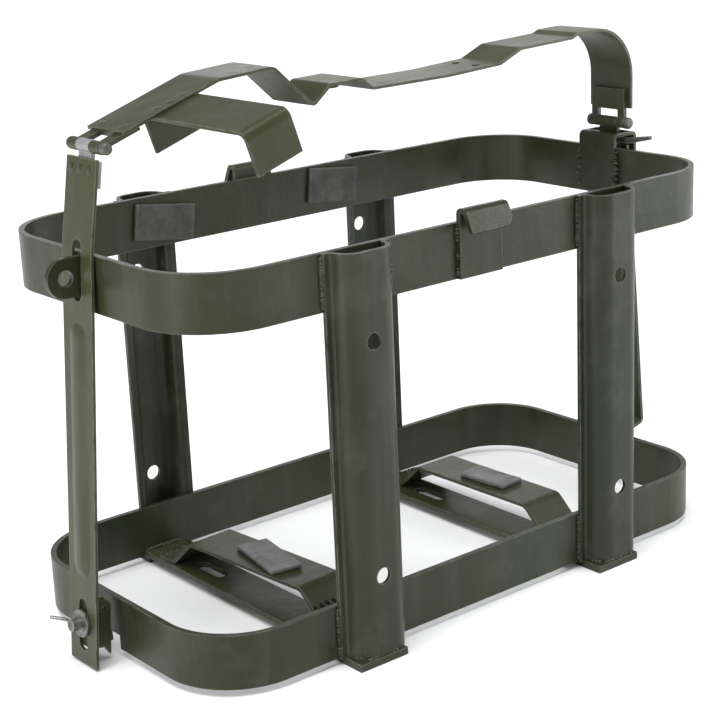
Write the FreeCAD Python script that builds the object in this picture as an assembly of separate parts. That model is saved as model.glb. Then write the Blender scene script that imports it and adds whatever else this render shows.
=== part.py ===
import FreeCAD, Part
import math
import os

# Two-height jerrycan holder in welded strip steel. Millimetres, +Z up.
# X runs along the holder, the closure bar at -X, the sliding bar at +X; -Y is the front.
# The origin is on the floor, under the middle of the rings.

V = FreeCAD.Vector

# ---- driving dimensions ----
can_length = 345.0
can_width = 165.0
can_play_length = 5.0
can_play_width = 10.0

strip = 3.0                 # thickness of the ring strip
ring_height = 28.3
left_corner_radius = 41.0   # outer radii of a ring's corners
right_corner_radius = 38.0
upper_ring_stretch = 3.0    # the upper ring is a little longer at its right end
ring_pitch = 176.5          # lower edge of one ring to lower edge of the other
foot_thickness = 4.0

half_length = (can_length + can_play_length) / 2 + strip
half_width = (can_width + can_play_width) / 2 + strip
lower_z = foot_thickness
upper_z = lower_z + ring_pitch
upper_top = upper_z + ring_height

# posts: pressed hat section, crown outwards
post_sheet = 2.0
post_depth = 13.0
post_front_half_width = 20.3
post_back_half_width = 18.0
post_flange = 4.6
post_front_x = (-84.5, 84.5)
post_back_x = (-84.5, 75.5)
bolt_hole_radius = 4.25
bolt_hole_shift = -0.8
bolt_hole_z = (lower_z + 42.0, lower_z + 161.0)

foot_length = 30.0
foot_depth = 19.0
foot_shift = -3.0           # the feet sit a little off the middle of their posts

# cross supports that the can stands on
support_width = 25.0
support_x = (-91.5, 70.0)
support_sheet = 3.0
support_slot_half_width = 4.0
support_slot_length = 25.0
support_slot_y = 38.5
bridge_width = 28.0
bridge_x = (-84.0, 80.5)
bridge_turn = (4.5, 1.0)      # degrees; the bridges are not quite square to the holder
bridge_rise = 15.0          # clear height under the bridge
bridge_sheet = 2.0
bridge_flat = 45.0          # half length of the raised part
bridge_run = 16.0           # length of a sloping end
bridge_tab = 12.0

pad_thickness = 3.0

# closure bar, hinge and padlock ear at the left
bar_width = 26.5
bar_foot_width = 24.0
bar_sheet = 1.6
slot_half_width = 4.0
ear_slot_length = 30.0
keeper_slot_length = 27.0
keeper_gap = 0.3            # between the bar's inner face and the keeper
left_pin = V(-169.2, 0, lower_z + 254.4)
left_crank = V(-179.4, 0, upper_top + 0.6)      # bend at the ring's top edge
bar_foot = V(-196.0, 0, 1.0)
ear_radius = 9.8
ear_centre = V(-188.0, 0, upper_z + 17.3)
ear_hole_radius = 4.0
ear_sheet = 3.0

# hinge hardware
pin_radius = 1.8
pin_play = 0.05
knuckle_radius = 3.2
link_sheet = 2.4            # a doubled strip
leaf_sheet = 2.4            # also a doubled strip
link_gap = 0.6              # between a link and the leaf's window
left_link_width = 11.0
left_link_foot_width = 24.0
right_link_width = 14.0

# top strap
strap_width = 32.0
strap_sheet = 1.6
left_leaf_half_width = 13.6
right_leaf_half_width = 12.8
strap_slope = 18.4          # degrees, of the strap's left end

# sliding bar and its bracket at the right
right_pin = V(187.0, 0, lower_z + 218.6)
slide_bar_width = 24.0
slide_bar_sheet = 2.0
slide_bar_length = 183.0
slide_bar_lean = 4.55       # degrees, foot outwards
bracket_half_width = 14.0
bracket_sheet = 2.0
bracket_top = lower_z + 213.2
bracket_slot_half_width = 12.6
cross_pin_drop = 10.4       # from the hinge pin to the cross pin
cross_pin_radius = 2.0

os.makedirs("parts", exist_ok=True)


def save(name, shape):
    shape = shape.removeSplitter()
    assert shape.isValid(), name
    shape.exportStep("parts/%s.step" % name)


# ---- shapes used by several parts ----
def direction(angle):
    return (math.cos(math.radians(angle)), math.sin(math.radians(angle)))


def strip_outline(points, radii, thickness):
    """Closed outline of a bent strip whose middle line runs through 2D points,
    each inner point rounded to its radius."""
    count = len(points)
    sides = {1: [], -1: []}
    for i, (u, v) in enumerate(points):
        if i > 0:
            back = (u - points[i - 1][0], v - points[i - 1][1])
            length = math.hypot(*back)
            back = (back[0] / length, back[1] / length)
        if i < count - 1:
            ahead = (points[i + 1][0] - u, points[i + 1][1] - v)
            length = math.hypot(*ahead)
            ahead = (ahead[0] / length, ahead[1] / length)
        if i in (0, count - 1):
            along = ahead if i == 0 else back
            for side in sides:
                offset = side * thickness / 2
                sides[side].append([(u - along[1] * offset, v + along[0] * offset)])
            continue
        turn = math.atan2(back[0] * ahead[1] - back[1] * ahead[0], back[0] * ahead[0] + back[1] * ahead[1])
        radius = radii[i - 1]
        reach = radius * math.tan(abs(turn) / 2)
        hand = 1 if turn > 0 else -1
        start = (u - back[0] * reach, v - back[1] * reach)
        centre = (start[0] - back[1] * radius * hand, start[1] + back[0] * radius * hand)
        first = math.atan2(start[1] - centre[1], start[0] - centre[0])
        for side in sides:
            r = radius - side * hand * thickness / 2
            arc = [first, first + turn / 2, first + turn]
            sides[side].append([(centre[0] + r * math.cos(a), centre[1] + r * math.sin(a)) for a in arc])
    return sides[1], sides[-1]


def strip_face(points, radii, thickness, place):
    """Face of a bent strip; place turns a 2D point into a 3D one."""
    left, right = strip_outline(points, radii, thickness)
    path = left + [list(reversed(bend)) for bend in reversed(right)]
    edges = []
    last = None
    for bend in path:
        spots = [place(*spot) for spot in bend]
        if last is not None:
            edges.append(Part.LineSegment(last, spots[0]).toShape())
        if len(spots) == 3:
            edges.append(Part.Arc(*spots).toShape())
        last = spots[-1]
    edges.append(Part.LineSegment(last, place(*path[0][0])).toShape())
    return Part.Face(Part.Wire(edges))


def bent_in_xz(points, radii, thickness, width, middle_y=0.0):
    face = strip_face(points, radii, thickness, lambda u, v: V(u, middle_y - width / 2, v))
    return face.extrude(V(0, width, 0))


def bent_in_yz(points, radii, thickness, width, middle_x):
    face = strip_face(points, radii, thickness, lambda u, v: V(middle_x - width / 2, u, v))
    return face.extrude(V(width, 0, 0))


def box(low, high):
    size = high - low
    return Part.makeBox(size.x, size.y, size.z, low)


def rod(centre, axis, radius, length):
    """Cylinder centred on a point."""
    axis = V(axis).normalize()
    return Part.makeCylinder(radius, length, centre - axis * (length / 2), axis)


def slot_cutter(centre, along, through, half_width, length, depth):
    """Stadium-shaped cutter: along is the slot's direction, through the way it cuts."""
    reach = V(along).normalize() * (length / 2 - half_width)
    across = V(along).cross(V(through)).normalize() * half_width
    corners = [centre - reach - across, centre + reach - across, centre + reach + across, centre - reach + across]
    deep = V(through).normalize() * depth
    slab = Part.Face(Part.makePolygon(corners + corners[:1])).extrude(deep)
    slab.translate(deep * -0.5)
    ends = [rod(centre + reach * end, through, half_width, depth) for end in (-1, 1)]
    return slab.fuse(ends)


# ---- rings ----
def ring_block(z, height, inset, stretch):
    """Rounded block, drawn in from a ring's outer face by inset."""
    block = box(V(inset - half_length, inset - half_width, z),
                V(half_length + stretch - inset, half_width - inset, z + height))
    upright = [edge for edge in block.Edges if abs(edge.tangentAt(edge.FirstParameter).z) > 0.9]
    left = [edge for edge in upright if edge.CenterOfMass.x < 0]
    block = block.makeFillet(left_corner_radius - inset, left)
    right = [edge for edge in block.Edges
             if abs(edge.tangentAt(edge.FirstParameter).z) > 0.9 and edge.CenterOfMass.x > half_length - inset - 1]
    return block.makeFillet(right_corner_radius - inset, right)


def ring(z, stretch):
    return ring_block(z, ring_height, 0, stretch).cut(ring_block(z - 1, ring_height + 2, strip, stretch))


def make_rings():
    save("upper_ring", ring(upper_z, upper_ring_stretch))
    notch = box(V(-half_length - 5, -5.0, lower_z - 1), V(-half_length + 5, 7.0, lower_z + 7.5))
    save("lower_ring", ring(lower_z, 0).cut(notch))


# ---- posts and feet ----
def post(x, side, half):
    """side is -1 at the front and 1 at the back."""
    wall_y = side * half_width
    skin = post_sheet / 2
    inner = half - post_flange
    section = [
        (-half, skin), (-inner, skin), (-inner + 2.5, post_depth - skin),
        (inner - 2.5, post_depth - skin), (inner, skin), (half, skin),
    ]
    face = strip_face(section, [2.5, 8.5, 8.5, 2.5], post_sheet, lambda u, v: V(x + u, wall_y + side * v, lower_z))
    body = face.extrude(V(0, 0, upper_top - lower_z))
    for z in bolt_hole_z:
        body = body.cut(rod(V(x + bolt_hole_shift, wall_y + side * post_depth, z), V(0, 1, 0), bolt_hole_radius, 8.0))
    return body


def foot(x, side):
    outer_y = side * (half_width + post_depth + 1.0)
    inner_y = outer_y - side * foot_depth
    middle = x + foot_shift
    low = V(middle - foot_length / 2, min(outer_y, inner_y), 0)
    high = V(middle + foot_length / 2, max(outer_y, inner_y), foot_thickness)
    return box(low, high)


def make_posts():
    rows = (
        ("front", -1, post_front_x, post_front_half_width),
        ("back", 1, post_back_x, post_back_half_width),
    )
    for row, side, places, half in rows:
        for end, x in zip(("left", "right"), places):
            save("post_%s_%s" % (row, end), post(x, side, half))
            save("foot_%s_%s" % (row, end), foot(x, side))


# ---- cross supports and pads ----
def support_strap(x):
    reach = half_width - strip
    plate = box(V(x - support_width / 2, -reach, lower_z), V(x + support_width / 2, reach, lower_z + support_sheet))
    centre = V(x, support_slot_y, lower_z)
    slot = slot_cutter(centre, V(0, 1, 0), V(0, 0, 1), support_slot_half_width, support_slot_length, 20.0)
    return plate.cut(slot)


def support_bridge(x, turn):
    low = lower_z + support_sheet + bridge_sheet / 2
    high = low + bridge_rise
    foot_y = bridge_flat + bridge_run
    points = [
        (-foot_y - bridge_tab, low), (-foot_y, low), (-bridge_flat, high),
        (bridge_flat, high), (foot_y, low), (foot_y + bridge_tab, low),
    ]
    bridge = bent_in_yz(points, [6.0, 6.0, 6.0, 6.0], bridge_sheet, bridge_width, 0)
    bridge.rotate(V(0, 0, 0), V(0, 0, 1), turn)
    bridge.translate(V(x, 0, 0))
    return bridge


def support_pad(centre, size, turn):
    z = lower_z + support_sheet + bridge_rise + bridge_sheet
    pad = box(V(-size[0] / 2, -size[1] / 2, 0), V(size[0] / 2, size[1] / 2, pad_thickness))
    pad.rotate(V(0, 0, 0), V(0, 0, 1), turn)
    pad.translate(V(centre[0], centre[1], z))
    return pad


def wall_pad(x, z, size, turn):
    """Pad on the inner face of the upper ring's back wall."""
    pad = box(V(-size[0] / 2, -pad_thickness, -size[1] / 2), V(size[0] / 2, 0, size[1] / 2))
    pad.rotate(V(0, 0, 0), V(0, 1, 0), turn)
    pad.translate(V(x, half_width - strip, z))
    return pad


def make_supports():
    for end, x, middle, turn in zip(("left", "right"), support_x, bridge_x, bridge_turn):
        save("support_strap_%s" % end, support_strap(x))
        save("support_bridge_%s" % end, support_bridge(middle, turn))
    save("support_pad_left", support_pad((-83.0, -4.5), (18.5, 42.0), -10.0))
    save("support_pad_right", support_pad((81.5, -3.0), (17.0, 34.0), 5.0))
    save("wall_pad_left", wall_pad(-75.0, upper_z + 13.2, (38.0, 20.0), 8.0))
    save("wall_pad_right", wall_pad(43.0, upper_z + 15.5, (35.0, 20.5), 6.5))


# ---- hook clips on the long sides ----
def hook_clip(left_x, right_x, side):
    skin = 1.25
    wall = half_width + skin
    top = upper_top + 7.5 - skin
    points = [(side * wall, upper_z), (side * wall, top), (side * (wall + 4.6), top), (side * (wall + 9.6), top - 10.5)]
    middle = (left_x + right_x) / 2
    clip = bent_in_yz(points, [1.9, 1.9], 2 * skin, right_x - left_x, middle)
    corner = box(V(-4.5, -6, -4.5), V(4.5, 6, 4.5))
    corner.rotate(V(0, 0, 0), V(0, 1, 0), 45)
    corner.translate(V(right_x + 1.0, side * (wall + 9.0), top - 11.5))
    return clip.cut(corner)


def make_hooks():
    save("hook_clip_front", hook_clip(-20.0, 8.5, -1))
    save("hook_clip_back", hook_clip(-23.0, 2.0, 1))


# ---- padlock ear ----
def make_ear():
    root_x = -half_length
    plate = box(V(ear_centre.x, -ear_sheet / 2, ear_centre.z - ear_radius),
                V(root_x, ear_sheet / 2, ear_centre.z + ear_radius))
    plate = plate.fuse(rod(ear_centre, V(0, 1, 0), ear_radius, ear_sheet))
    save("padlock_ear", plate.cut(rod(ear_centre, V(0, 1, 0), ear_hole_radius, 10.0)))


# ---- hinge parts ----
def hinge_pin(centre, half_span, front_head, back_head, head_radius):
    """Pin along Y with a domed head at the front and a flatter one at the back;
    half_span is to the heads' inner faces."""
    pin = rod(centre, V(0, 1, 0), pin_radius, 2 * half_span)
    for side, reach in ((-1, front_head), (1, back_head)):
        seat = centre + V(0, side * half_span, 0)
        head = rod(seat + V(0, side * reach / 2, 0), V(0, 1, 0), head_radius, reach)
        rims = [edge for edge in head.Edges if abs(edge.CenterOfMass.y - seat.y) > reach * 0.9]
        pin = pin.fuse(head.makeFillet(min(1.5, reach - 0.4), rims[:1]))
    return pin


def hinge_leaf(half_width_y, reach, window_width, window_reach):
    """Leaf folded round a pin on the origin, lying along +X, open in the middle for the link."""
    plate = box(V(0, -half_width_y, -leaf_sheet / 2), V(reach, half_width_y, leaf_sheet / 2))
    barrel = rod(V(0, 0, 0), V(0, 1, 0), knuckle_radius, 2 * half_width_y)
    window = box(V(-10, -window_width / 2, -10), V(window_reach, window_width / 2, 10))
    bore = rod(V(0, 0, 0), V(0, 1, 0), pin_radius, 80.0)
    return plate.fuse(barrel).cut(window.fuse(bore))


def hinge_link(width, reach):
    """Strip looped round a pin on the origin and hanging down from it."""
    plate = box(V(-link_sheet / 2, -width / 2, -reach), V(link_sheet / 2, width / 2, 0))
    barrel = rod(V(0, 0, 0), V(0, 1, 0), knuckle_radius, width)
    return plate.fuse(barrel).cut(rod(V(0, 0, 0), V(0, 1, 0), pin_radius + pin_play, 40.0))


def pressed_rib(start, end, outward, half_width_y, height):
    """Long bead that stands height proud of a line on a plate's outer face."""
    radius = (half_width_y ** 2 + height ** 2) / (2 * height)
    axis = (end - start).normalize()
    low = start - outward * (radius - height)
    high = end - outward * (radius - height)
    bead = Part.makeCylinder(radius, (high - low).Length, low, axis)
    return bead.fuse([Part.makeSphere(radius, low), Part.makeSphere(radius, high)])


# ---- closure bar and its keeper ----
# The link hangs from the left pin so that the bar, lying on its outer face, meets the crank.
bar_offset = (link_sheet + bar_sheet) / 2
reach_down = left_pin - left_crank
link_tilt = math.degrees(math.atan2(reach_down.x, reach_down.z) - math.asin(bar_offset / reach_down.Length))
bar_run = (bar_foot - left_crank).normalize()       # down the bar's lower part
bar_out = V(bar_run.z, 0, -bar_run.x)               # and square to it, outwards
bar_tilt = math.degrees(math.atan2(-bar_run.x, -bar_run.z))
ear_slot_z = ear_centre.z + 2.6
keeper_z = lower_z + 18.5
keeper_slot_z = lower_z + 17.5


def on_bar(z):
    """Point at height z on the middle of the closure bar's lower part."""
    return left_crank + bar_run * ((z - left_crank.z) / bar_run.z)


def make_closure_bar():
    neck = V(-math.sin(math.radians(link_tilt)), 0, -math.cos(math.radians(link_tilt)))
    out = V(neck.z, 0, -neck.x)
    top = left_pin + neck * 5.6 + out * bar_offset
    points = [(top.x, top.z), (left_crank.x, left_crank.z), (bar_foot.x, bar_foot.z)]
    bar = bent_in_xz(points, [30.0], bar_sheet, bar_width)

    # the bar narrows below the ring
    for side in (-1, 1):
        edge = [V(-230, side * bar_width / 2, upper_z), V(-230, side * bar_foot_width / 2, 0),
                V(-230, side * bar_width, 0), V(-230, side * bar_width, upper_z)]
        bar = bar.cut(Part.Face(Part.makePolygon(edge + edge[:1])).extrude(V(80, 0, 0)))

    face = bar_out * (bar_sheet / 2)
    rib_top = on_bar(upper_z - 13.5) + face
    rib_foot = on_bar(lower_z + 50.0) + face
    bead = pressed_rib(rib_top, rib_foot, bar_out, 7.6, 1.9)
    hollow = pressed_rib(rib_top - face * 2, rib_foot - face * 2, bar_out, 6.2, 1.2)
    inside = box(V(0, -20, 0), V(60, 20, 300))
    inside.rotate(V(0, 0, 0), V(0, 1, 0), bar_tilt)
    inside.translate(on_bar(0))
    bar = bar.fuse(bead.cut(inside)).cut(hollow)
    for z, length in ((ear_slot_z, ear_slot_length), (keeper_slot_z, keeper_slot_length)):
        bar = bar.cut(slot_cutter(on_bar(z), bar_run, bar_out, slot_half_width, length, 16.0))
    save("closure_bar", bar)

    link = hinge_link(left_link_width, 19.0)
    half = left_link_foot_width / 2
    link = link.fuse(box(V(-link_sheet / 2, -half, -19.0), V(link_sheet / 2, half, -6.4)))
    link.rotate(V(0, 0, 0), V(0, 1, 0), link_tilt)
    link.translate(left_pin)
    save("closure_bar_link", link)


def make_keeper():
    """Sliding catch on the closure bar's lower slot.
    Drawn with the bar's middle on the origin, +X inwards and +Z up the bar, then tilted with it."""
    half = 5.0
    wall = 2.0
    depth = 11.0
    top, bottom = 13.5, -13.5
    outer = -bar_sheet / 2
    inner = bar_sheet / 2 + keeper_gap
    far = inner + depth
    web = box(V(inner, -half, bottom), V(inner + wall, half, top))
    outline = [
        V(inner, 0, bottom), V(far - 4.0, 0, bottom), V(far - 0.6, 0, bottom - 4.5), V(far, 0, bottom - 4.0),
        V(far, 0, top - 5.0), V(far - 4.5, 0, top), V(inner, 0, top),
    ]
    side = Part.Face(Part.makePolygon(outline + outline[:1]))
    cheeks = []
    for y in (-half, half - wall):
        cheek = side.extrude(V(0, wall, 0))
        cheek.translate(V(0, y, 0))
        cheeks.append(cheek)
    body = web.fuse(cheeks)
    body = body.cut(rod(V(far - 4.2, 0, top - 6.5), V(0, 1, 0), 1.3, 40.0))
    body = body.cut(rod(V(0, 0, 0), V(1, 0, 0), 3.0, 40.0))

    washer_face = outer - 0.35
    washer = Part.makeCylinder(7.0, 1.6, V(washer_face - 1.6, 0, 0), V(1, 0, 0))
    washer = washer.cut(rod(V(0, 0, 0), V(1, 0, 0), 3.0, 60.0))

    stud_tip = outer - 7.2
    pin_x = outer - 4.7
    stud = Part.makeCylinder(3.0, inner + wall - stud_tip, V(stud_tip, 0, 0), V(1, 0, 0))
    stud = stud.fuse(Part.makeCylinder(2.9, 1.5, V(inner + wall, 0, 0), V(1, 0, 0)))
    stud = stud.cut(rod(V(pin_x, 0, 0), V(0, 1, 0), 0.9, 20.0))

    # the split pin's back end is bent outwards
    start, bend, end = V(pin_x, -8.0, 0), V(pin_x, 8.5, 0), V(pin_x - 4.7, 16.0, 0)
    path = Part.Wire([Part.LineSegment(start, bend).toShape(), Part.LineSegment(bend, end).toShape()])
    outline = Part.Wire(Part.makeCircle(0.85, start, V(0, 1, 0)))
    wire = path.makePipeShell([outline], True, False, 2)

    pieces = (("keeper_body", body), ("keeper_stud", stud), ("keeper_washer", washer), ("keeper_split_pin", wire))
    for name, shape in pieces:
        shape.rotate(V(0, 0, 0), V(0, 1, 0), bar_tilt)
        shape.translate(on_bar(keeper_z))
        save(name, shape)


# ---- top strap ----
def make_strap():
    slope = direction(strap_slope)
    above = leaf_sheet / 2 + strap_sheet / 2

    def on_slope(distance, offset=0.0):
        x = left_pin.x + slope[0] * distance - slope[1] * offset
        z = left_pin.z + slope[1] * distance + slope[0] * offset
        return x, z

    skin = strap_sheet / 2
    right_x = right_pin.x + leaf_sheet / 2 + skin
    base = lower_z - skin
    points = [
        on_slope(11.5, above), on_slope(70.0, above), (-70.5, base + 281.4), (-46.8, base + 259.6),
        (-35.5, base + 268.6), (-15.0, base + 269.2), (-7.7, base + 263.6), (46.0, base + 264.0),
        (83.5, base + 266.0), (99.3, base + 272.5), (139.7, base + 274.2), (144.0, base + 276.0),
        (right_x, base + 277.3), (right_x, right_pin.z + 8.6),
    ]
    radii = [14.0, 6.0, 2.6, 4.0, 3.0, 3.0, 12.0, 8.0, 8.0, 3.0, 3.0, 29.0]
    save("top_strap", bent_in_xz(points, radii, strap_sheet, strap_width))

    left_leaf = hinge_leaf(left_leaf_half_width, 22.0, left_link_width + 2 * link_gap, 12.0)
    left_leaf.rotate(V(0, 0, 0), V(0, 1, 0), -strap_slope)
    left_leaf.translate(left_pin)
    save("left_hinge_leaf", left_leaf)
    save("left_hinge_pin", hinge_pin(left_pin, left_leaf_half_width + 0.35, 4.6, 1.6, 2.9))

    right_leaf = hinge_leaf(right_leaf_half_width, 20.0, right_link_width + 2 * link_gap, 7.6)
    right_leaf.rotate(V(0, 0, 0), V(0, 1, 0), -90)
    right_leaf.translate(right_pin)
    save("right_hinge_leaf", right_leaf)
    save("right_hinge_pin", hinge_pin(right_pin, right_leaf_half_width + 0.35, 3.6, 2.6, 3.4))

    # saddle plate: an inverted channel across the strap's slope, hanging out to the front
    saddle_sheet = 1.8
    saddle_length = 26.5
    centre = on_slope(43.5, above - skin)
    outline = [(-86.0, -22.0), (-86.0, -saddle_sheet / 2), (-5.0, -saddle_sheet / 2), (-5.0, -20.0)]
    face = strip_face(outline, [4.0, 4.0], saddle_sheet, lambda u, v: V(-saddle_length / 2, u, v))
    saddle = face.extrude(V(saddle_length, 0, 0))
    saddle.rotate(V(0, 0, 0), V(0, 1, 0), -strap_slope)
    saddle.translate(V(centre[0], 0, centre[1]))
    save("saddle_plate", saddle)

    # rivet under the short flat beside the dip, square to it
    flat = V(20.5, 0, 0.6).normalize()
    under = V(flat.z, 0, -flat.x)
    save("strap_rivet", Part.makeCylinder(6.0, 3.0, V(-25.25, 0, base + 268.9) + under * skin, under))


# ---- sliding bar, its link and bracket, and the cross pin ----
def lean(shape):
    shape.rotate(V(0, 0, 0), V(0, 1, 0), -slide_bar_lean)
    shape.translate(right_pin)
    return shape


def make_slide_bar():
    inner = link_sheet / 2
    middle = inner + slide_bar_sheet / 2
    top_z = -cross_pin_drop - knuckle_radius - 0.4
    foot_z = -8.0 - slide_bar_length
    points = [(middle, top_z), (middle, foot_z), (middle - 9.0, foot_z - 1.5), (middle - 10.5, foot_z - 7.0)]
    bar = bent_in_xz(points, [2.5, 2.5], slide_bar_sheet, slide_bar_width)
    outward = V(1, 0, 0)
    face_x = inner + slide_bar_sheet
    rib_top, rib_foot = V(face_x, 0, -48.0), V(face_x, 0, foot_z + 42.0)
    bead = pressed_rib(rib_top, rib_foot, outward, 5.4, 1.8)
    inside = pressed_rib(rib_top - V(slide_bar_sheet, 0, 0), rib_foot - V(slide_bar_sheet, 0, 0), outward, 4.2, 1.3)
    bead = bead.cut(box(V(-60, -20, -300), V(middle, 20, 60)))
    bar = bar.fuse(bead).cut(inside)
    bar = bar.cut(rod(V(middle - 4.6, 0, foot_z), V(0, 0, 1), 1.5, 20.0))
    save("slide_bar", lean(bar))

    link = hinge_link(right_link_width, 24.0)
    link = link.fuse(rod(V(0, 0, -cross_pin_drop), V(0, 1, 0), knuckle_radius, right_link_width))
    for depth, radius in ((0, pin_radius), (cross_pin_drop, cross_pin_radius)):
        link = link.cut(rod(V(0, 0, -depth), V(0, 1, 0), radius + pin_play, 40.0))
    save("slide_bar_link", lean(link))

    # the cross pin's tail is tapered and bent up just outside the bracket
    bend_y, head_y = -bracket_half_width - 0.6, 16.5
    pin = Part.makeCylinder(cross_pin_radius, head_y - bend_y, V(0, bend_y, -cross_pin_drop), V(0, 1, 0))
    tail_run = V(0, -1, math.tan(math.radians(11.0)))
    tail = Part.makeCone(cross_pin_radius * 0.97, 1.1, 18.0, V(0, bend_y, -cross_pin_drop), tail_run)
    elbow = Part.makeSphere(cross_pin_radius, V(0, bend_y, -cross_pin_drop))
    head = Part.makeCylinder(3.2, 2.6, V(0, head_y, -cross_pin_drop), V(0, 1, 0))
    save("cross_pin", lean(pin.fuse([elbow, tail, head])))


def make_bracket():
    skin = bracket_sheet / 2
    inner_x = half_length + upper_ring_stretch - strip - skin
    outer_x = right_pin.x + 7.3
    top = bracket_top - skin
    points = [(inner_x, upper_z + 1.0), (inner_x, top), (outer_x, top), (outer_x, upper_top - 5.0)]
    bracket = bent_in_xz(points, [2.4, 2.4], bracket_sheet, 2 * bracket_half_width)
    slot = box(V(right_pin.x - 4.3, -bracket_slot_half_width, top - 5),
               V(outer_x - skin - 0.2, bracket_slot_half_width, top + 5))
    save("slide_bracket", bracket.cut(slot))


make_rings()
make_posts()
make_supports()
make_hooks()
make_ear()
make_closure_bar()
make_keeper()
make_strap()
make_slide_bar()
make_bracket()
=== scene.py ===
import math
import random

import bmesh
import bpy
from mathutils import Matrix, Vector, noise


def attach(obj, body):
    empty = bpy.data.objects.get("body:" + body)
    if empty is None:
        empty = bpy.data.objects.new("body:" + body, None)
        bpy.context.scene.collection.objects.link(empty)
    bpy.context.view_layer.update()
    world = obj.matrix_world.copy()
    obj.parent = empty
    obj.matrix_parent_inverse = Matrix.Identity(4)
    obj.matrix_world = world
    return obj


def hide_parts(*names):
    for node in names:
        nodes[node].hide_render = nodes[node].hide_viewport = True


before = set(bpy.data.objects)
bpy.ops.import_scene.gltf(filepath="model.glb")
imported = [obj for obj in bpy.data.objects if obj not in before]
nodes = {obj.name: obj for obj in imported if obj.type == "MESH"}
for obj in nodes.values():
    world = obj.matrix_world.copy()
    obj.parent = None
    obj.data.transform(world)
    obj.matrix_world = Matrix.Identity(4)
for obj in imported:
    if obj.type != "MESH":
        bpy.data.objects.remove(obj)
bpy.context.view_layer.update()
random.seed(20)


# Camera, floor and light
view = {
    "place": (-0.5822, -0.7106, 0.3929),
    "azimuth": -38.78,
    "elevation": 16.78,
    "roll": -2.48,
    "lens": 87.3,
    "sensor": 36,
    "nearest": 0.01,
}


def placeCamera():
    camera = bpy.data.objects.new("viewCamera", bpy.data.cameras.new("viewCamera"))
    turn = Matrix.Rotation(math.radians(view["azimuth"]), 4, "Z")
    tip = Matrix.Rotation(math.radians(90 - view["elevation"]), 4, "X")
    roll = Matrix.Rotation(math.radians(view["roll"]), 4, "Z")
    camera.matrix_world = Matrix.Translation(view["place"]) @ turn @ tip @ roll
    camera.data.lens = view["lens"]
    camera.data.sensor_width = view["sensor"]
    camera.data.clip_start = view["nearest"]
    bpy.context.collection.objects.link(camera)
    bpy.context.scene.camera = camera


studio = {
    "floorSize": 60,
    "floorColour": (0.93, 0.93, 0.93, 1),
    "floorRoughness": 0.85,
    "skyColour": (0.95, 0.97, 1.0, 1),
    "skyStrength": 0.42,
    "sunTowards": (0.22, 0.12, -1.0),
    "sunSpread": 50,
    "sunPower": 2.7,
    # name: place, aim, size across, size up, power, colour
    "softboxes": {
        "leftStrip": ((-1.5, -0.15, 0.45), (0, 0, 0.15), 0.4, 1.0, 11, (1, 1, 1)),
        "rightFront": ((1.25, -0.95, 0.6), (0, 0, 0.12), 0.30, 1.2, 13, (0.96, 1, 0.98)),
        "lowBehind": ((1.45, 1.75, 0.72), (0, 0, 0.25), 1.7, 0.30, 3.5, (1, 1, 1)),
    },
}


def lightStudio():
    world = bpy.data.worlds.new("studioWorld")
    world.use_nodes = True
    sky = world.node_tree.nodes["Background"]
    sky.inputs["Color"].default_value = studio["skyColour"]
    sky.inputs["Strength"].default_value = studio["skyStrength"]
    bpy.context.scene.world = world
    for name, (place, aim, across, up, power, colour) in studio["softboxes"].items():
        light = bpy.data.lights.new(name, "AREA")
        light.shape = "RECTANGLE"
        light.size = across
        light.size_y = up
        light.energy = power
        light.color = colour
        lamp = bpy.data.objects.new(name, light)
        towards = Vector(aim) - Vector(place)
        lamp.matrix_world = Matrix.Translation(place) @ towards.to_track_quat("-Z", "Y").to_matrix().to_4x4()
        bpy.context.collection.objects.link(lamp)
    sun = bpy.data.lights.new("softSun", "SUN")
    sun.energy = studio["sunPower"]
    sun.angle = math.radians(studio["sunSpread"])
    lamp = bpy.data.objects.new("softSun", sun)
    lamp.matrix_world = Vector(studio["sunTowards"]).to_track_quat("-Z", "Y").to_matrix().to_4x4()
    bpy.context.collection.objects.link(lamp)


def layFloor():
    mesh = bpy.data.meshes.new("studioFloor")
    sheet = bmesh.new()
    bmesh.ops.create_grid(sheet, x_segments=1, y_segments=1, size=studio["floorSize"] / 2)
    sheet.to_mesh(mesh)
    sheet.free()
    floor = bpy.data.objects.new("studioFloor", mesh)
    bpy.context.collection.objects.link(floor)
    material = bpy.data.materials.new("floorMatt")
    material.use_nodes = True
    shader = material.node_tree.nodes["Principled BSDF"]
    shader.inputs["Base Color"].default_value = studio["floorColour"]
    shader.inputs["Roughness"].default_value = studio["floorRoughness"]
    mesh.materials.append(material)


placeCamera()
lightStudio()
layFloor()
bpy.context.scene.view_settings.view_transform = "Standard"
print("studio ready")


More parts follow.
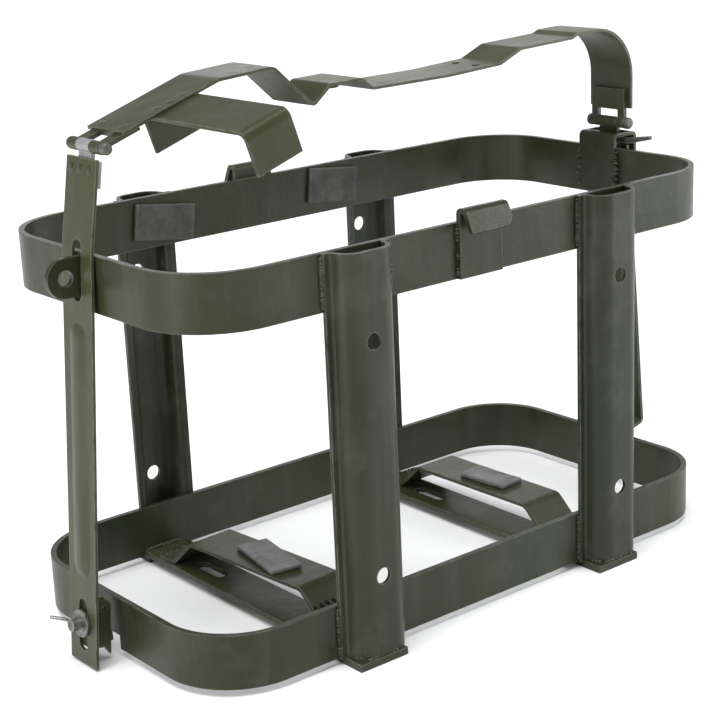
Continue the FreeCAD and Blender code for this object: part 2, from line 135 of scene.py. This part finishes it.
# Finishes
class Wiring:
    def __init__(self, name):
        self.material = bpy.data.materials.new(name)
        self.material.use_nodes = True
        self.tree = self.material.node_tree
        self.shader = self.tree.nodes["Principled BSDF"]
        self.coords = self.tree.nodes.new("ShaderNodeTexCoord").outputs["Object"]

    def add(self, kind, **settings):
        node = self.tree.nodes.new(kind)
        for key, value in settings.items():
            setattr(node, key, value)
        return node

    def join(self, source, target):
        self.tree.links.new(source, target)

    def stretched(self, scale):
        mapping = self.add("ShaderNodeMapping")
        mapping.inputs["Scale"].default_value = scale
        self.join(self.coords, mapping.inputs["Vector"])
        return mapping.outputs["Vector"]

    def noise(self, scale, detail=4.0, rough=0.55, stretch=(1, 1, 1)):
        texture = self.add("ShaderNodeTexNoise")
        self.join(self.stretched(stretch), texture.inputs["Vector"])
        texture.inputs["Scale"].default_value = scale
        texture.inputs["Detail"].default_value = detail
        texture.inputs["Roughness"].default_value = rough
        return texture.outputs["Fac"]

    def band(self, value, low, high, bottom=0.0, top=1.0):
        spread = self.add("ShaderNodeMapRange", clamp=True)
        self.join(value, spread.inputs["Value"])
        limits = {"From Min": low, "From Max": high, "To Min": bottom, "To Max": top}
        for name, number in limits.items():
            spread.inputs[name].default_value = number
        return spread.outputs["Result"]

    def maths(self, operation, first, second):
        node = self.add("ShaderNodeMath", operation=operation)
        for socket, value in zip(node.inputs, (first, second)):
            if isinstance(value, (int, float)):
                socket.default_value = value
            else:
                self.join(value, socket)
        return node.outputs[0]

    def mix(self, factor, under, over):
        node = self.add("ShaderNodeMix", data_type="RGBA")
        sockets = node.inputs["Factor"], node.inputs[6], node.inputs[7]    # 6 and 7 are its two colours
        for socket, value in zip(sockets, (factor, under, over)):
            if isinstance(value, (int, float, tuple)):
                socket.default_value = value
            else:
                self.join(value, socket)
        return node.outputs[2]

    # Normals as if every edge were rounded to this radius.
    def rounded(self, radius):
        bevel = self.add("ShaderNodeBevel", samples=6)
        bevel.inputs["Radius"].default_value = radius
        return bevel.outputs["Normal"]

    # How sharply the surface turns within radius: 0 on the flat, 1 on an edge.
    def edges(self, radius, low, high):
        turned = self.rounded(radius)
        geometry = self.add("ShaderNodeNewGeometry")
        compare = self.add("ShaderNodeVectorMath", operation="DOT_PRODUCT")
        self.join(turned, compare.inputs[0])
        self.join(geometry.outputs["Normal"], compare.inputs[1])
        return self.band(self.maths("SUBTRACT", 1.0, compare.outputs["Value"]), low, high)

    def bump(self, height, strength, distance, under=None):
        node = self.add("ShaderNodeBump")
        node.inputs["Strength"].default_value = strength
        node.inputs["Distance"].default_value = distance
        self.join(height, node.inputs["Height"])
        if under is not None:
            self.join(under, node.inputs["Normal"])
        return node.outputs["Normal"]


oliveFinish = {
    "olive": (0.0185, 0.0202, 0.0068, 1),
    "oliveLight": (0.0320, 0.0340, 0.0150, 1),
    "oliveCool": (0.0165, 0.0260, 0.0170, 1),
    # Pale colour of the scuffs and worn edges; on the edges it is also a painted highlight.
    "rubbedAndHighlight": (0.175, 0.176, 0.145, 1),
    # Bluish pale colour of the streaks along Z: dusty brush marks and a painted sheen.
    "dustAndSheen": (0.070, 0.076, 0.064, 1),
    "specular": 0.30,
    "roughness": (0.26, 0.46),
    "rimRadius": 0.0011,
    "softRadius": 0.00045,
    "scuffShare": 0.10,
}


def toned(colour, factor):
    return tuple(min(1.0, channel * factor) for channel in colour[:3]) + (1,)


# Satin olive paint: the first factor sets how scuffed it is and how far its edges are worn pale, the edges partly
# real wearing and partly a painted edge highlight;
# the second factor how strongly pale lines run along Z, partly brush marks and partly a painted sheen; the paleness
# factor how pale it is, partly painted light and shade; coolness how green its patches are.
def oliveMaterial(name, wearAndHighlight, streaksAndSheen, wearAndLitTone=1.0, coolness=0.5):
    w = Wiring(name)
    f = oliveFinish
    plain, pale, cold = [toned(f[key], wearAndLitTone) for key in ("olive", "oliveLight", "oliveCool")]
    clouds = w.band(w.noise(9, 3, 0.6), 0.36, 0.68)
    base = w.mix(clouds, plain, pale)
    cool = w.band(w.noise(6.5, 2, 0.5, (1, 1, 0.5)), 0.55, 0.72, 0.0, coolness)
    base = w.mix(cool, base, cold)
    # Streaks along Z, partly brush marks and partly a painted sheen.
    brushStreakSheen = w.noise(70, 5, 0.6, (1, 1, 0.07))
    base = w.mix(w.band(brushStreakSheen, 0.50, 0.78, 0.0, streaksAndSheen), base, f["dustAndSheen"])
    patches = w.noise(210, 6, 0.68)
    areas = w.band(w.noise(26, 3, 0.6), 0.46, 0.62)
    scuffs = w.band(w.maths("MULTIPLY", patches, areas), 0.22, 0.55, 0.0, wearAndHighlight * f["scuffShare"])
    base = w.mix(scuffs, base, f["rubbedAndHighlight"])
    # Edges turned pale: worn paint and a painted edge highlight.
    rim = w.edges(f["rimRadius"], 0.012, 0.16)
    broken = w.band(w.noise(130, 5, 0.65), 0.36, 0.56)
    rubAndHighlight = w.maths("MULTIPLY", w.maths("MULTIPLY", rim, broken), wearAndHighlight)
    colour = w.mix(rubAndHighlight, base, f["rubbedAndHighlight"])
    w.join(colour, w.shader.inputs["Base Color"])
    grain = w.noise(900, 3, 0.6)
    dullness = w.maths("ADD", w.maths("MULTIPLY", patches, 0.6), w.maths("MULTIPLY", clouds, 0.35))
    w.join(w.band(dullness, 0.15, 0.85, *f["roughness"]), w.shader.inputs["Roughness"])
    w.shader.inputs["Specular IOR Level"].default_value = f["specular"]
    skin = w.bump(grain, 0.22, 0.0004, w.rounded(f["softRadius"]))
    skin = w.bump(w.noise(95, 3, 0.5), 0.30, 0.0008, skin)
    w.join(skin, w.shader.inputs["Normal"])
    return w.material


# Bare or thinly painted steel, mottled, brighter on its edges.
def steelMaterial(name, dark, light, metallic, roughness, scale=260):
    w = Wiring(name)
    mottle = w.band(w.noise(scale, 6, 0.7), 0.34, 0.66)
    base = w.mix(mottle, dark, light)
    rim = w.edges(0.0007, 0.012, 0.2)
    bright = toned(light, 1.5)
    w.join(w.mix(w.maths("MULTIPLY", rim, 0.8), base, bright), w.shader.inputs["Base Color"])
    w.shader.inputs["Metallic"].default_value = metallic
    w.join(w.band(mottle, 0, 1, roughness + 0.1, roughness - 0.08), w.shader.inputs["Roughness"])
    skin = w.bump(w.noise(scale * 3, 4, 0.6), 0.25, 0.0003, w.rounded(0.0004))
    w.join(skin, w.shader.inputs["Normal"])
    return w.material


# Scuffed grey pad, pale along its rims: worn rims and a painted edge highlight.
padRimWearAndHighlight = (0.34, 0.34, 0.315, 1)


def padMaterial(name, dark, light):
    w = Wiring(name)
    marks = w.band(w.noise(75, 6, 0.72), 0.36, 0.66)
    base = w.mix(marks, dark, light)
    smear = w.band(w.noise(42, 5, 0.6, (1, 0.35, 0.6)), 0.52, 0.74, 0.0, 0.6)
    base = w.mix(smear, base, toned(light, 1.35))
    rim = w.edges(0.0012, 0.012, 0.14)
    broken = w.band(w.noise(180, 4, 0.6), 0.30, 0.5)
    w.join(w.mix(w.maths("MULTIPLY", rim, broken), base, padRimWearAndHighlight), w.shader.inputs["Base Color"])
    w.join(w.band(marks, 0, 1, 0.72, 0.55), w.shader.inputs["Roughness"])
    skin = w.bump(w.noise(420, 4, 0.6), 0.35, 0.0005, w.rounded(0.0007))
    w.join(skin, w.shader.inputs["Normal"])
    return w.material


# Paleness factors of 0.82 for the posts, 1.55 for the strap, 1.60 for the bars and 1.25 for the supports make
# shaded and lit copies of one olive paint: painted light and shade, on the strap partly worn paint.
paintFrame = oliveMaterial("olivePaintFrame", 0.55, 0.25)
paintPosts = oliveMaterial("olivePaintPosts", 0.75, 0.45, 0.82, coolness=0.75)
paintStrap = oliveMaterial("olivePaintStrap", 0.90, 0.10, 1.55)
paintBars = oliveMaterial("olivePaintBars", 0.90, 0.45, 1.60, coolness=0.9)
paintSupports = oliveMaterial("olivePaintSupports", 0.70, 0.15, 1.25, coolness=0.3)
wornHinge = steelMaterial("wornHingeSteel", (0.045, 0.047, 0.037, 1), (0.125, 0.127, 0.106, 1), 0.3, 0.42)
paleHinge = steelMaterial("paleHingeStrap", (0.20, 0.20, 0.20, 1), (0.34, 0.34, 0.335, 1), 0.25, 0.42, scale=120)
bareSteel = steelMaterial("bareSteel", (0.06, 0.06, 0.055, 1), (0.26, 0.26, 0.245, 1), 0.7, 0.38)
padGrey = padMaterial("wallPadGrey", (0.028, 0.028, 0.023, 1), (0.062, 0.062, 0.054, 1))
padPale = padMaterial("supportPadGrey", (0.085, 0.085, 0.083, 1), (0.170, 0.170, 0.168, 1))
weldPaint = oliveMaterial("oliveWeld", 0.80, 0.0, 1.1)

finishes = {
    paintFrame: ["upper_ring", "lower_ring", "foot_front_left", "foot_front_right", "foot_back_left",
                 "foot_back_right", "hook_clip_front", "hook_clip_back", "padlock_ear", "slide_bracket"],
    paintPosts: ["post_front_left", "post_front_right", "post_back_left", "post_back_right"],
    paintStrap: ["top_strap", "saddle_plate", "strap_rivet", "left_hinge_leaf", "right_hinge_leaf"],
    paintBars: ["closure_bar", "slide_bar", "slide_bar_link", "keeper_body"],
    paintSupports: ["support_strap_left", "support_strap_right", "support_bridge_left",
                    "support_bridge_right"],
    wornHinge: ["left_hinge_pin", "right_hinge_pin", "cross_pin"],
    paleHinge: ["closure_bar_link"],
    bareSteel: ["keeper_stud", "keeper_washer", "keeper_split_pin"],
}


def paintNodes():
    for material, names in finishes.items():
        for name in names:
            mesh = nodes[name].data
            mesh.materials.clear()
            mesh.materials.append(material)


paintNodes()
print("finishes on the metal")


# A rippled weld run from start to end, in millimetres.
beadEnds = {"share": 0.72, "swell": 5}    # how thin it starts, and how soon it is full


def bead(name, body, start, end, settings):
    start, end = Vector(start), Vector(end)
    run = end - start
    steps = max(6, round(run.length / settings["step"]))
    aim = run.to_track_quat("Z", "Y").to_matrix().to_4x4()
    mesh = bmesh.new()
    made = bmesh.ops.create_circle(mesh, cap_ends=True, radius=1.0, segments=settings["sides"])
    ring = made["verts"]
    mesh.faces.ensure_lookup_table()
    front = mesh.faces[0]
    phase = random.uniform(0, math.tau)
    shift = Vector((0, 0))

    def settle(verts, i):
        along = i / steps
        full = min(1.0, beadEnds["swell"] * min(along, 1 - along))
        ends = beadEnds["share"] + (1 - beadEnds["share"]) * full
        ripple = 1 + settings["ripple"] * math.sin(phase + i * math.tau / settings["perRipple"])
        radius = settings["radius"] * ripple * ends * random.uniform(0.95, 1.05)
        hub = start + run * along
        for corner, vert in enumerate(verts):
            turn = math.tau * corner / len(verts)
            spot = Vector((math.cos(turn) * radius + shift.x, math.sin(turn) * radius + shift.y, 0))
            vert.co = (hub + aim.to_3x3() @ spot) / 1000

    settle(ring, 0)
    for i in range(1, steps + 1):
        shift = Vector((random.uniform(-1, 1), random.uniform(-1, 1))) * settings["wander"]
        grown = bmesh.ops.extrude_face_region(mesh, geom=[front])["geom"]
        front = next(item for item in grown if isinstance(item, bmesh.types.BMFace))
        settle([loop.vert for loop in front.loops], i)
    bmesh.ops.recalc_face_normals(mesh, faces=mesh.faces)
    wrap(name, body, mesh, weldPaint)


# Makes the bmesh a smooth piece that rides on a body.
def wrap(name, body, mesh, material):
    data = bpy.data.meshes.new(name)
    mesh.to_mesh(data)
    mesh.free()
    data.materials.append(material)
    for face in data.polygons:
        face.use_smooth = True
    piece = bpy.data.objects.new(name, data)
    bpy.context.collection.objects.link(piece)
    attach(piece, body)
    return piece


ringWeld = {"radius": 1.5, "step": 0.5, "sides": 10, "ripple": 0.16, "perRipple": 3.5, "wander": 0.10}
footWeld = {"radius": 1.2, "step": 0.5, "sides": 10, "ripple": 0.20, "perRipple": 4.0, "wander": 0.15}
ringFace = 90.5
posts = {
    "FrontLeft": (-84.5, -1, 20.3), "FrontRight": (84.5, -1, 20.3),
    "BackLeft": (-84.5, 1, 18.0), "BackRight": (75.5, 1, 18.0),
}    # middle, side, half the crown's width
ringHeights = {"Lower": (5.5, 30.8), "Upper": (182.0, 207.3)}
footRun = {"proud": 102.7, "height": 4.1, "half": 14.0, "middle": -3.0}
footSideRun = {"from": (-1.6, 94.0), "to": (0.4, 101.0), "height": 4.4}


def weldPosts():
    for post, (x, side, half) in posts.items():
        for level, (low, high) in ringHeights.items():
            for hand, way in (("A", -1), ("B", 1)):
                spot = (x + way * (half + 0.1), side * (ringFace + 0.5))
                bead("weldPost%s%s%s" % (post, level, hand), "frame", (*spot, low), (*spot, high), ringWeld)
        wall = half - 6.5
        reach = wall - 2.0
        low, high = [x + footRun["middle"] + way * footRun["half"] for way in (-1, 1)]
        y, z = side * footRun["proud"], footRun["height"]
        bead("weldFoot%sA" % post, "frame", (max(x - reach, low), y, z), (min(x + reach, high), y, z), footWeld)
        ends = [(x - wall + across, side * out, footSideRun["height"])
                for across, out in (footSideRun["from"], footSideRun["to"])]
        bead("weldFootSide%s" % post, "frame", *ends, footWeld)


smallWeld = {"radius": 1.25, "step": 0.45, "sides": 10, "ripple": 0.24, "perRipple": 4.5, "wander": 0.18}
blobWeld = {"radius": 1.9, "step": 0.5, "sides": 12, "ripple": 0.38, "perRipple": 6.5, "wander": 0.25}
wideWeld = {"radius": 2.0, "step": 0.6, "sides": 12, "ripple": 0.34, "perRipple": 4.0, "wander": 0.25}


sides = {"Front": -1, "Back": 1}
hookRuns = {
    "Front": -20.0,
    "Back": -23.0,
    "proud": 0.6,
    "heights": ((182.5, 186.5), (190.5, 193.5), (199.5, 206.5)),
}
earRun = {"x": -178.3, "y": 1.7, "heights": (189.5, 206.2)}
bracketRun = {"x": 177.2, "y": 14.2, "heights": (183.5, 207.0)}
supportRuns = {"Left": -91.5, "Right": 70.0, "half": 11.5, "y": 87.3, "height": 7.2}
bridges = {"Left": (-84.0, 4.5), "Right": (80.5, 1.0)}    # middle, turn
bridgeRun = {"half": 12.5, "y": 73.0, "height": 7.6}


# Places measured from a bridge's middle, turned with it.
def onBridge(end, *points):
    x, turn = bridges[end]
    swing = Matrix.Rotation(math.radians(turn), 3, "Z")
    return [swing @ Vector(point) + Vector((x, 0, 0)) for point in points]


def weldFittings():
    for side, way in sides.items():
        x, y = hookRuns[side], way * (ringFace + hookRuns["proud"])
        for number, (low, high) in enumerate(hookRuns["heights"]):
            bead("weldHook%s%d" % (side, number), "frame", (x, y, low), (x, y, high), smallWeld)
    for side, way in sides.items():
        for name, run, settings in (("Ear", earRun, smallWeld), ("Bracket", bracketRun, blobWeld)):
            ends = [(run["x"], way * run["y"], height) for height in run["heights"]]
            bead("weld%s%s" % (name, side), "frame", *ends, settings)
    for end in bridges:
        for side, way in sides.items():
            ends = [(supportRuns[end] + hand * supportRuns["half"], way * supportRuns["y"], supportRuns["height"])
                    for hand in (-1, 1)]
            bead("weldSupport%s%s" % (end, side), "frame", *ends, ringWeld)
    for end in bridges:
        for side, way in sides.items():
            ends = onBridge(end, *[(hand * bridgeRun["half"], way * bridgeRun["y"], bridgeRun["height"])
                                   for hand in (-1, 1)])
            bead("weldBridge%s%s" % (end, side), "frame", *ends, wideWeld)


# Short upright runs side by side on the left bridge's front slope
ridges = {
    "across": (-11.0, -6.6, -2.2, 2.2, 6.6, 11.0),
    "lean": 1.2,
    "foot": (-62.3, 9.6),
    "top": (-54.6, 16.8),
}


def weldRidges():
    for number, across in enumerate(ridges["across"]):
        foot = (across + ridges["lean"], *ridges["foot"])
        top = (across - ridges["lean"], *ridges["top"])
        bead("weldRidge%d" % number, "frame", *onBridge("Left", foot, top), smallWeld)


weldPosts()
weldFittings()
weldRidges()
print("welds run")


# Spot welds: low round domes on the outer layer, in millimetres
dome = {"segments": 20, "rings": 10}
spotSizes = {"Bar": (2.9, 0.6), "Leaf": (2.6, 0.25), "Saddle": (2.6, 0.25), "Flat": (2.2, 0.25)}    # radius, height
leftPin = (-169.2, 0, 258.4)
layer = 2.8    # from a hinge pin's middle out to the layer the spots are on
barTop = {"tilt": 9.47, "down": 10.5, "across": (-8.0, 0.0, 8.0)}
strapSlope = {
    "slope": 18.4,
    "Leaf": ((16.0, -9.5), (16.0, 9.5)),
    "Saddle": ((36.0, -10.0), (43.5, -11.0), (51.0, -10.0)),
}
strapFlat = ((6.0, -8.0, 267.7), (6.0, 8.0, 267.7), (72.0, -8.0, 269.6), (72.0, 8.0, 269.6))


def spotWeld(kind, number, body, place, facing):
    radius, height = [size / 1000 for size in spotSizes[kind]]
    mesh = bmesh.new()
    shape = Matrix.Diagonal((radius, radius, height, 1))
    aim = Vector(facing).to_track_quat("Z", "Y").to_matrix().to_4x4()
    bmesh.ops.create_uvsphere(mesh, u_segments=dome["segments"], v_segments=dome["rings"], radius=1.0,
                              matrix=Matrix.Translation(Vector(place) / 1000) @ aim @ shape)
    wrap("spot%s%d" % (kind, number), body, mesh, weldPaint)


def spotWelds():
    tilt = math.radians(barTop["tilt"])
    down = Vector((-math.sin(tilt), 0, -math.cos(tilt)))
    out = Vector((-math.cos(tilt), 0, math.sin(tilt)))
    for number, y in enumerate(barTop["across"]):
        place = Vector(leftPin) + down * barTop["down"] + out * layer + Vector((0, y, 0))
        spotWeld("Bar", number, "closure_bar", place, out)
    slope = math.radians(strapSlope["slope"])
    along = Vector((math.cos(slope), 0, math.sin(slope)))
    up = Vector((-math.sin(slope), 0, math.cos(slope)))
    for kind in ("Leaf", "Saddle"):
        for number, (distance, y) in enumerate(strapSlope[kind]):
            place = Vector(leftPin) + along * distance + up * layer + Vector((0, y, 0))
            spotWeld(kind, number, "strap", place, up)
    for number, place in enumerate(strapFlat):
        spotWeld("Flat", number, "strap", place, (0, 0, 1))


spotWelds()
print("spot welds pressed")


# Pads: rounded slabs with shallow dents, drawn flat with the thickness along Z and then placed
padShape = {
    "thickness": 3.0,
    "round": 0.7,
    "segments": 3,
    "cuts": 14,
    "face": 0.9,    # points further than this from the middle plane are on a face and take dents
    "dent": 0.32,
    "dentScale": 0.16,
    "waver": 0.25,
    "waverScale": 1.7,
}
# size, middle, turn
supportPads = {
    "Left": ((18.5, 42.0), (-83.0, -4.5, 25.5), -10.0),
    "Right": ((17.0, 34.0), (81.5, -3.0, 25.5), 5.0),
}
wallPads = {
    "Left": ((38.0, 20.0), (-75.0, 86.0, 193.7), 8.0),
    "Right": ((35.0, 20.5), (43.0, 86.0, 196.0), 6.5),
}


# Noise from 0 to 1.
def lumps(spot):
    return 0.5 + 0.5 * noise.noise(spot)


def pad(name, node, size, place, material):
    p = padShape
    mesh = bmesh.new()
    bmesh.ops.create_cube(mesh, size=1.0, matrix=Matrix.Diagonal((*size, p["thickness"], 1)))
    bmesh.ops.bevel(mesh, geom=mesh.edges[:], offset=p["round"], segments=p["segments"], profile=0.5,
                    affect="EDGES", material=-1)
    longEdges = [edge for edge in mesh.edges if edge.calc_length() > 5 * p["round"]]
    bmesh.ops.subdivide_edges(mesh, edges=longEdges, cuts=p["cuts"], use_grid_fill=True)
    for vert in mesh.verts:
        spot = Vector((vert.co.x, vert.co.y, 0)) * p["dentScale"] + Vector(place.translation)
        if abs(vert.co.z) > p["face"]:
            vert.co.z -= math.copysign(p["dent"] * lumps(spot), vert.co.z)
        for axis in (0, 1):
            if abs(vert.co[axis]) > size[axis] / 2 - p["round"]:
                vert.co[axis] -= math.copysign(p["waver"] * lumps(spot * p["waverScale"]), vert.co[axis])
    bmesh.ops.transform(mesh, matrix=Matrix.Scale(0.001, 4) @ place, verts=mesh.verts[:])
    bmesh.ops.recalc_face_normals(mesh, faces=mesh.faces)
    piece = wrap(name, "frame", mesh, material)
    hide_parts(node)


def laySupportPads():
    for end, (size, middle, turn) in supportPads.items():
        place = Matrix.Translation(middle) @ Matrix.Rotation(math.radians(turn), 4, "Z")
        pad("supportPad%s" % end, "support_pad_%s" % end.lower(), size, place, padPale)


def hangWallPads():
    upright = Matrix.Rotation(math.radians(90), 4, "X")
    for end, (size, middle, turn) in wallPads.items():
        place = Matrix.Translation(middle) @ Matrix.Rotation(math.radians(turn), 4, "Y") @ upright
        pad("wallPad%s" % end, "wall_pad_%s" % end.lower(), size, place, padGrey)


laySupportPads()
hangWallPads()
print("pads laid")
